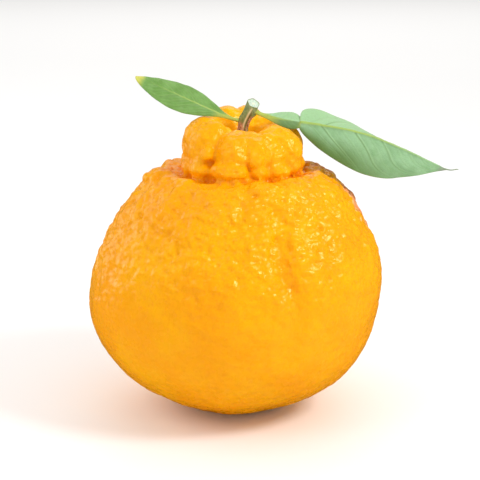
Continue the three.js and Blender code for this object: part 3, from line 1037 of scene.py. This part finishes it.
# %% Veins and waves
def vein_lines(leaf, t, s, length):
    """From 0 to 1: the veins, a soft version for the quilting, and a painted shadow line along one side of
    each.
    """
    away = np.abs(s)
    sharp = np.zeros(np.broadcast_shapes(t.shape, s.shape))
    soft = np.zeros_like(sharp)
    beside = np.zeros_like(sharp)
    for half in (-1, 1):
        for order, (start, strength) in enumerate(leaf["veins"]):
            first = start + (VEIN_STAGGER if half < 0 else 0)
            bend = VEIN_REACH[0] * away + VEIN_REACH[1] * away**4 + 0.006 * np.sin(9 * away + order)
            gap = (t - first - bend) * length * VEIN_SLANT
            on = strength * (1 - 0.65 * away**2) * (s * half >= 0)
            sharp = np.maximum(sharp, on * hump(gap, VEIN_HALF))
            soft = np.maximum(soft, on * hump(gap, QUILT_HALF))
            # Painted shadow: a dark line on one side of each vein, as if the vein cast it.
            beside = np.maximum(beside, on * strength * hump(gap + 1.5 * VEIN_HALF, VEIN_HALF))
    return sharp, soft, beside


def margin_waves(leaf, t, s, sheet):
    """How far the sheet rises and falls, which grows towards its margins."""
    front_size, back_size, count = leaf["waves"]
    ripple = s**2 * np.sin(count * 2 * np.pi * t + 2.1 * np.sign(s))
    uneven = 0.5 * bumps(sheet.reshape(-1, 3), 6, 31).reshape(sheet.shape[:2])
    return np.where(s > 0, front_size, back_size) * (ripple + uneven)


# %% [markdown]
# The two faces of a leaf stand off its middle surface by half its thickness, plus the rib and
# the veins. That thickness falls to nothing at the margin and at both ends, where the two faces
# meet. On the stem, which is round, it follows a circle instead.

# %% Leaf as a closed solid
def thickness(leaf, t, s, width, stem, in_blade, veins, under):
    """How far one face stands off the middle surface, at each point."""
    rib = leaf["rib"] * (1 - 0.75 * t) * hump(np.abs(s) * width, 0.9 * stem + 0.12)
    margin = np.sqrt(np.clip(1 - np.abs(s) ** 10, 0, 1))
    from_end = np.clip(np.minimum(t, 1 - t) / END_SHARE, 0, 1)
    ends = np.sqrt(np.clip(1 - (1 - from_end) ** 2, 0, 1))
    rib_share, vein_height = (1, 0.13) if under else (0.25, -0.05)
    blade = BLADE_HALF * margin + rib_share * rib + vein_height * veins * margin
    round_stem = np.sqrt(np.clip(1 - s**2, 0, 1)) * stem
    return (in_blade * blade + (1 - in_blade) * round_stem) * ends * (np.abs(s) < 1)


def leaf_piece(name, leaf, rows, columns):
    """A leaf with veins, quilting between them, a wavy margin and two faces."""
    t = np.linspace(0, 1, rows)
    u = np.linspace(-1, 1, columns)
    s = np.sign(u) * np.abs(u) ** COLUMN_CROWDING
    sheet, width, length = leaf_sheet(leaf, t, s)
    t, s = t[:, None], s[None, :]
    stem = stem_width(leaf, t)
    in_blade = smooth_step(0.5, 2.0, width - stem)
    veins, quilt, beside = (line * in_blade for line in vein_lines(leaf, t, s, length))
    facing = facing_of(sheet)
    side = leaf["underside"]
    rise = margin_waves(leaf, t, s, sheet) * in_blade
    rise = rise - side * QUILT_DEPTH * quilt + side * BLADE_LIFT * in_blade
    sheet = sheet + facing * rise[:, :, None]
    faces = []
    for towards in (1, -1):
        off = thickness(leaf, t, s, width, stem, in_blade, veins, under=towards == side)
        faces.append(sheet + towards * facing * off[:, :, None])
    corners = [quads(rows, columns), quads(rows, columns, first=rows * columns)[:, ::-1]]
    piece = new_piece(name, np.concatenate(faces).reshape(-1, 3), np.vstack(corners))
    front_is_under = float(side == 1)
    note(piece, "underside", np.repeat([front_is_under, 1 - front_is_under], rows * columns))
    for mark, values in (
        ("midrib", hump(np.abs(s) * width, stem + 0.05)), ("veins", veins), ("beside", beside),
        ("along", t), ("margin", np.abs(s)), ("front_half", s > 0), ("stem", 1 - in_blade),
    ):
        note(piece, mark, np.concatenate([np.broadcast_to(values, width.shape)] * 2))
    close_up(piece)
    return piece


# %% The three sheets
small_leaf = leaf_piece("leaf_left", SMALL_LEAF, 200, 81)
wing = leaf_piece("petiole_wings", WING, 110, 81)
large_leaf = leaf_piece("leaf_right", LARGE_LEAF, 270, 121)

for piece, node, slot in (
    (small_leaf, "small_leaf", "leaf"),
    (wing, "winged_petiole", "leaf"),
    (large_leaf, "large_leaf", "leaf_underside"),
):
    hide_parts(node)
    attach(piece, "root")
    print(f"{piece.name}: {triangles(piece)} triangles")

# %% [markdown]
# ## The leaves' finish
# The top of a citrus leaf is deep green with a soft gloss, and its underside is paler and matt.
# One recipe serves every leaf: it reads which side a point is on, how near it is to the midrib
# and the veins, and how far along the leaf it lies. A net of fine veins is drawn with cells.
# Painted shade darkens a leaf's front half towards its margin, where the leaf turns away from
# the light. The back half of the underside is painted paler, as painted light, and each vein
# gets a painted shadow line along one side.

# %% Leaf colours
TOP_GREEN = (0.140, 0.308, 0.055)
TOP_LIGHT = (0.195, 0.385, 0.095)
UNDER_GREEN = (0.215, 0.40, 0.185)
UNDER_LIGHT = (0.275, 0.475, 0.245)
# Deep green for the fine vein net, and for painted shade and painted vein shadows.
NET_GREEN_AND_PAINTED_SHADE = (0.10, 0.20, 0.035)
# Painted light: the back half of the underside is painted this paler green.
UNDER_PAINTED_LIGHT = (0.355, 0.595, 0.30)
VEIN_TOP = (0.27, 0.47, 0.12)
VEIN_UNDER = (0.36, 0.56, 0.25)
RIB_GREEN = (0.34, 0.49, 0.11)
TIP_YELLOW = (0.62, 0.60, 0.10)
STEM_GREEN = (0.40, 0.48, 0.07)
TIP_GREY = (0.24, 0.30, 0.20)


# %% Leaf finish
DEEPENING_LENGTH = 0.65


def blade_colour(finish, mottle, painted_shade, deepen_from, deepen_until):
    """Mottled greens: one on top, another underneath, with painted light on the back half's underside and
    painted shade towards the front half's margin.
    """
    along, margin, front = (finish.noted(name) for name in ("along", "margin", "front_half"))
    top = finish.blend(mottle.ramp(0.3, 0.7), TOP_GREEN, TOP_LIGHT)
    below = finish.blend(mottle.ramp(0.3, 0.7), UNDER_GREEN, UNDER_LIGHT)
    # Painted light: the back half of the underside paler, as if lit from above.
    below = finish.blend((1 - front) * 0.75, below, UNDER_PAINTED_LIGHT)
    # Painted shade: the front half darker towards its margin.
    shade = margin.ramp(deepen_from, 1.0) * along.ramp(deepen_until, deepen_until - DEEPENING_LENGTH)
    below = finish.blend(shade * front * painted_shade, below, NET_GREEN_AND_PAINTED_SHADE)
    return finish.blend(finish.noted("underside"), top, below)


def leaf_finish(piece, name, stem_end, yellow_tip=0.0, painted_shade=0.0, deepen_from=0.25, deepen_until=0.85):
    """Greens, then the vein net, the veins with their painted shadow lines, the midrib, the stem and a
    yellow tip over them.
    """
    finish = Finish(name, Subsurface_Weight=0.12, Subsurface_Scale=0.0008,
                    Subsurface_Radius=(0.5, 1.0, 0.2), Specular_IOR_Level=0.45, Sheen_Weight=0.08)
    here = finish.place()
    under, along = finish.noted("underside"), finish.noted("along")
    mottle = finish.cloud(here, 4.0, detail=3)
    net = finish.spots(here, 0.9, "DISTANCE_TO_EDGE").ramp(0.09, 0.0)
    colour = blade_colour(finish, mottle, painted_shade, deepen_from, deepen_until)
    colour = finish.blend(net * 0.12, colour, NET_GREEN_AND_PAINTED_SHADE)
    vein = finish.blend(under, VEIN_TOP, VEIN_UNDER)
    colour = finish.blend(finish.noted("veins") * 0.3, colour, vein)
    # Painted shadow: a dark line beside each vein.
    colour = finish.blend(finish.noted("beside") * (0.35 + 0.2 * under), colour, NET_GREEN_AND_PAINTED_SHADE)
    rib = finish.noted("midrib").ramp(0.35, 0.85) * along.ramp(0.95, 0.3)
    colour = finish.blend(rib, colour, RIB_GREEN)
    stem = finish.blend(along.ramp(0.3, 0.8), STEM_GREEN, stem_end)
    colour = finish.blend(finish.noted("stem"), colour, stem)
    colour = finish.blend(along.ramp(0.90, 0.97) * yellow_tip, colour, TIP_YELLOW)
    rough = 0.38 + 0.16 * under + 0.1 * mottle
    finish.wear(piece, Base_Color=colour, Roughness=rough, Normal=finish.raised(mottle - net * 0.5, 0.05))


leaf_finish(small_leaf, "leaf_top", TIP_YELLOW, yellow_tip=0.9)
leaf_finish(wing, "leaf_wings", STEM_GREEN, painted_shade=0.9, deepen_from=-1.2, deepen_until=1.65)
leaf_finish(large_leaf, "leaf_under", TIP_GREY, painted_shade=1.0)

# %% [markdown]
# ## Floor and tent
# A white table in a bright white tent keeps the shadows soft. But a waxy rind mirrors both at
# its edges, and white reflections would wash its orange out. A Light Path node tells which rays
# were mirrored, and to those the table and the tent look dim and warm, as if they were far off.

# %% A dim look for mirrored rays
def dim_when_mirrored(graph, bright, dim, output):
    """Shows the dim shader to mirrored rays, and the bright one to all others."""
    mirrored_ray = graph.node("ShaderNodeLightPath", {}, {}, "Is Glossy Ray")
    look = graph.node("ShaderNodeMixShader", {}, [mirrored_ray, bright, dim])
    graph.join(graph.tree.nodes[output].inputs["Surface"], look)


# %% Floor
FLOOR_HALF = 3000
FLOOR_WHITE = (0.93, 0.93, 0.93)
FLOOR_LIGHT = (0.95, 0.95, 0.95)
FLOOR_MIRRORED = (0.12, 0.08, 0.03)
corners = [(x * FLOOR_HALF, y * FLOOR_HALF, 0) for x, y in ((-1, -1), (1, -1), (1, 1), (-1, 1))]
floor = new_piece("floor", corners, [(0, 1, 2, 3)])
floor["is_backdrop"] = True
floor_finish = Finish("floor", Roughness=0.85, Specular_IOR_Level=0.1)
floor_cloud = floor_finish.cloud(floor_finish.place(), 400)
floor_finish.wear(floor, Base_Color=floor_finish.blend(floor_cloud, FLOOR_WHITE, FLOOR_LIGHT))
dim_when_mirrored(
    floor_finish,
    Value(floor_finish, floor_finish.shader.outputs["BSDF"]),
    floor_finish.node("ShaderNodeBsdfDiffuse", {}, {"Color": FLOOR_MIRRORED}, "BSDF"),
    "Material Output",
)

# %% Tent
TENT_LIGHT = 0.80
TENT_WHITE = (1.0, 0.99, 0.975)
TENT_MIRRORED = {"Color": (1.0, 0.75, 0.30), "Strength": 0.22}
world = bpy.data.worlds.new("tent")
bpy.context.scene.world = world
world.use_nodes = True
tent = Graph(world.node_tree)
background = tent.tree.nodes["Background"]
tent.join(background.inputs["Color"], TENT_WHITE)
tent.join(background.inputs["Strength"], TENT_LIGHT)
dim_when_mirrored(
    tent,
    Value(tent, background.outputs["Background"]),
    tent.node("ShaderNodeBackground", {}, TENT_MIRRORED, "Background"),
    "World Output",
)
print(f"tent light {TENT_LIGHT}, seen in reflections as {TENT_MIRRORED['Strength']}")

# %% [markdown]
# ## Lamps and camera
# Four square lamps face the fruit. The key stands high in front on the right and makes the small
# glints on the shoulder. A weaker fill does the same on the left, a wide lamp behind on the left
# gives the pale rim, and a very wide one sweeps the floor behind the fruit with light.
# The camera looks slightly down with a long lens, so little is distorted.

# %% Lamps
AIM = Vector((1.8, 0, 50)) * MM


def soft_lamp(name, direction, distance_mm, size_mm, watts):
    """A square lamp that faces the fruit from the given direction."""
    lamp = bpy.data.lights.new(name, "AREA")
    lamp.size = size_mm * MM
    lamp.energy = watts
    stand = bpy.data.objects.new(name, lamp)
    stand.location = AIM + Vector(direction).normalized() * distance_mm * MM
    stand.rotation_euler = (AIM - stand.location).to_track_quat("-Z", "Y").to_euler()
    bpy.context.scene.collection.objects.link(stand)
    print(f"{name}: {watts} W, {size_mm} mm wide, {distance_mm} mm away")


soft_lamp("key", (0.69, -0.36, 0.67), 600, 155, 1.75)
soft_lamp("fill", (-0.60, -0.45, 0.66), 700, 260, 0.55)
soft_lamp("rim", (-0.84, 0.40, 0.30), 700, 400, 1.0)
soft_lamp("sweep", (0, 0.8, 0.6), 1500, 1200, 4.0)

# %% Camera
CAMERA_AIM = Vector((1.8, 0, 55.6))
CAMERA_DISTANCE = 433.7
CAMERA_HEIGHT = math.radians(15)
LENS_LENGTH = 100
lens = bpy.data.cameras.new("camera")
lens.lens = LENS_LENGTH
camera = bpy.data.objects.new("camera", lens)
back_off = Vector((0, -math.cos(CAMERA_HEIGHT), math.sin(CAMERA_HEIGHT))) * CAMERA_DISTANCE
camera.location = (CAMERA_AIM + back_off) * MM
camera.rotation_euler = (-back_off).to_track_quat("-Z", "Y").to_euler()
bpy.context.scene.collection.objects.link(camera)
bpy.context.scene.camera = camera
bpy.context.scene.view_settings.view_transform = "Standard"
print(f"camera {CAMERA_DISTANCE} mm away with a {LENS_LENGTH} mm lens")

# %% [markdown]
# ## Sizes
# Last, the box round the fine pieces is set beside the solid model's. They should nearly agree.

# %% Sizes
fine_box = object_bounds()
sizes = {name: [list(corner) for corner in box] for name, box in (("solid", solid_box), ("fine", fine_box))}
for name, (low, high) in sizes.items():
    print(name, [round((b - a) / MM, 1) for a, b in zip(low, high)], "mm")
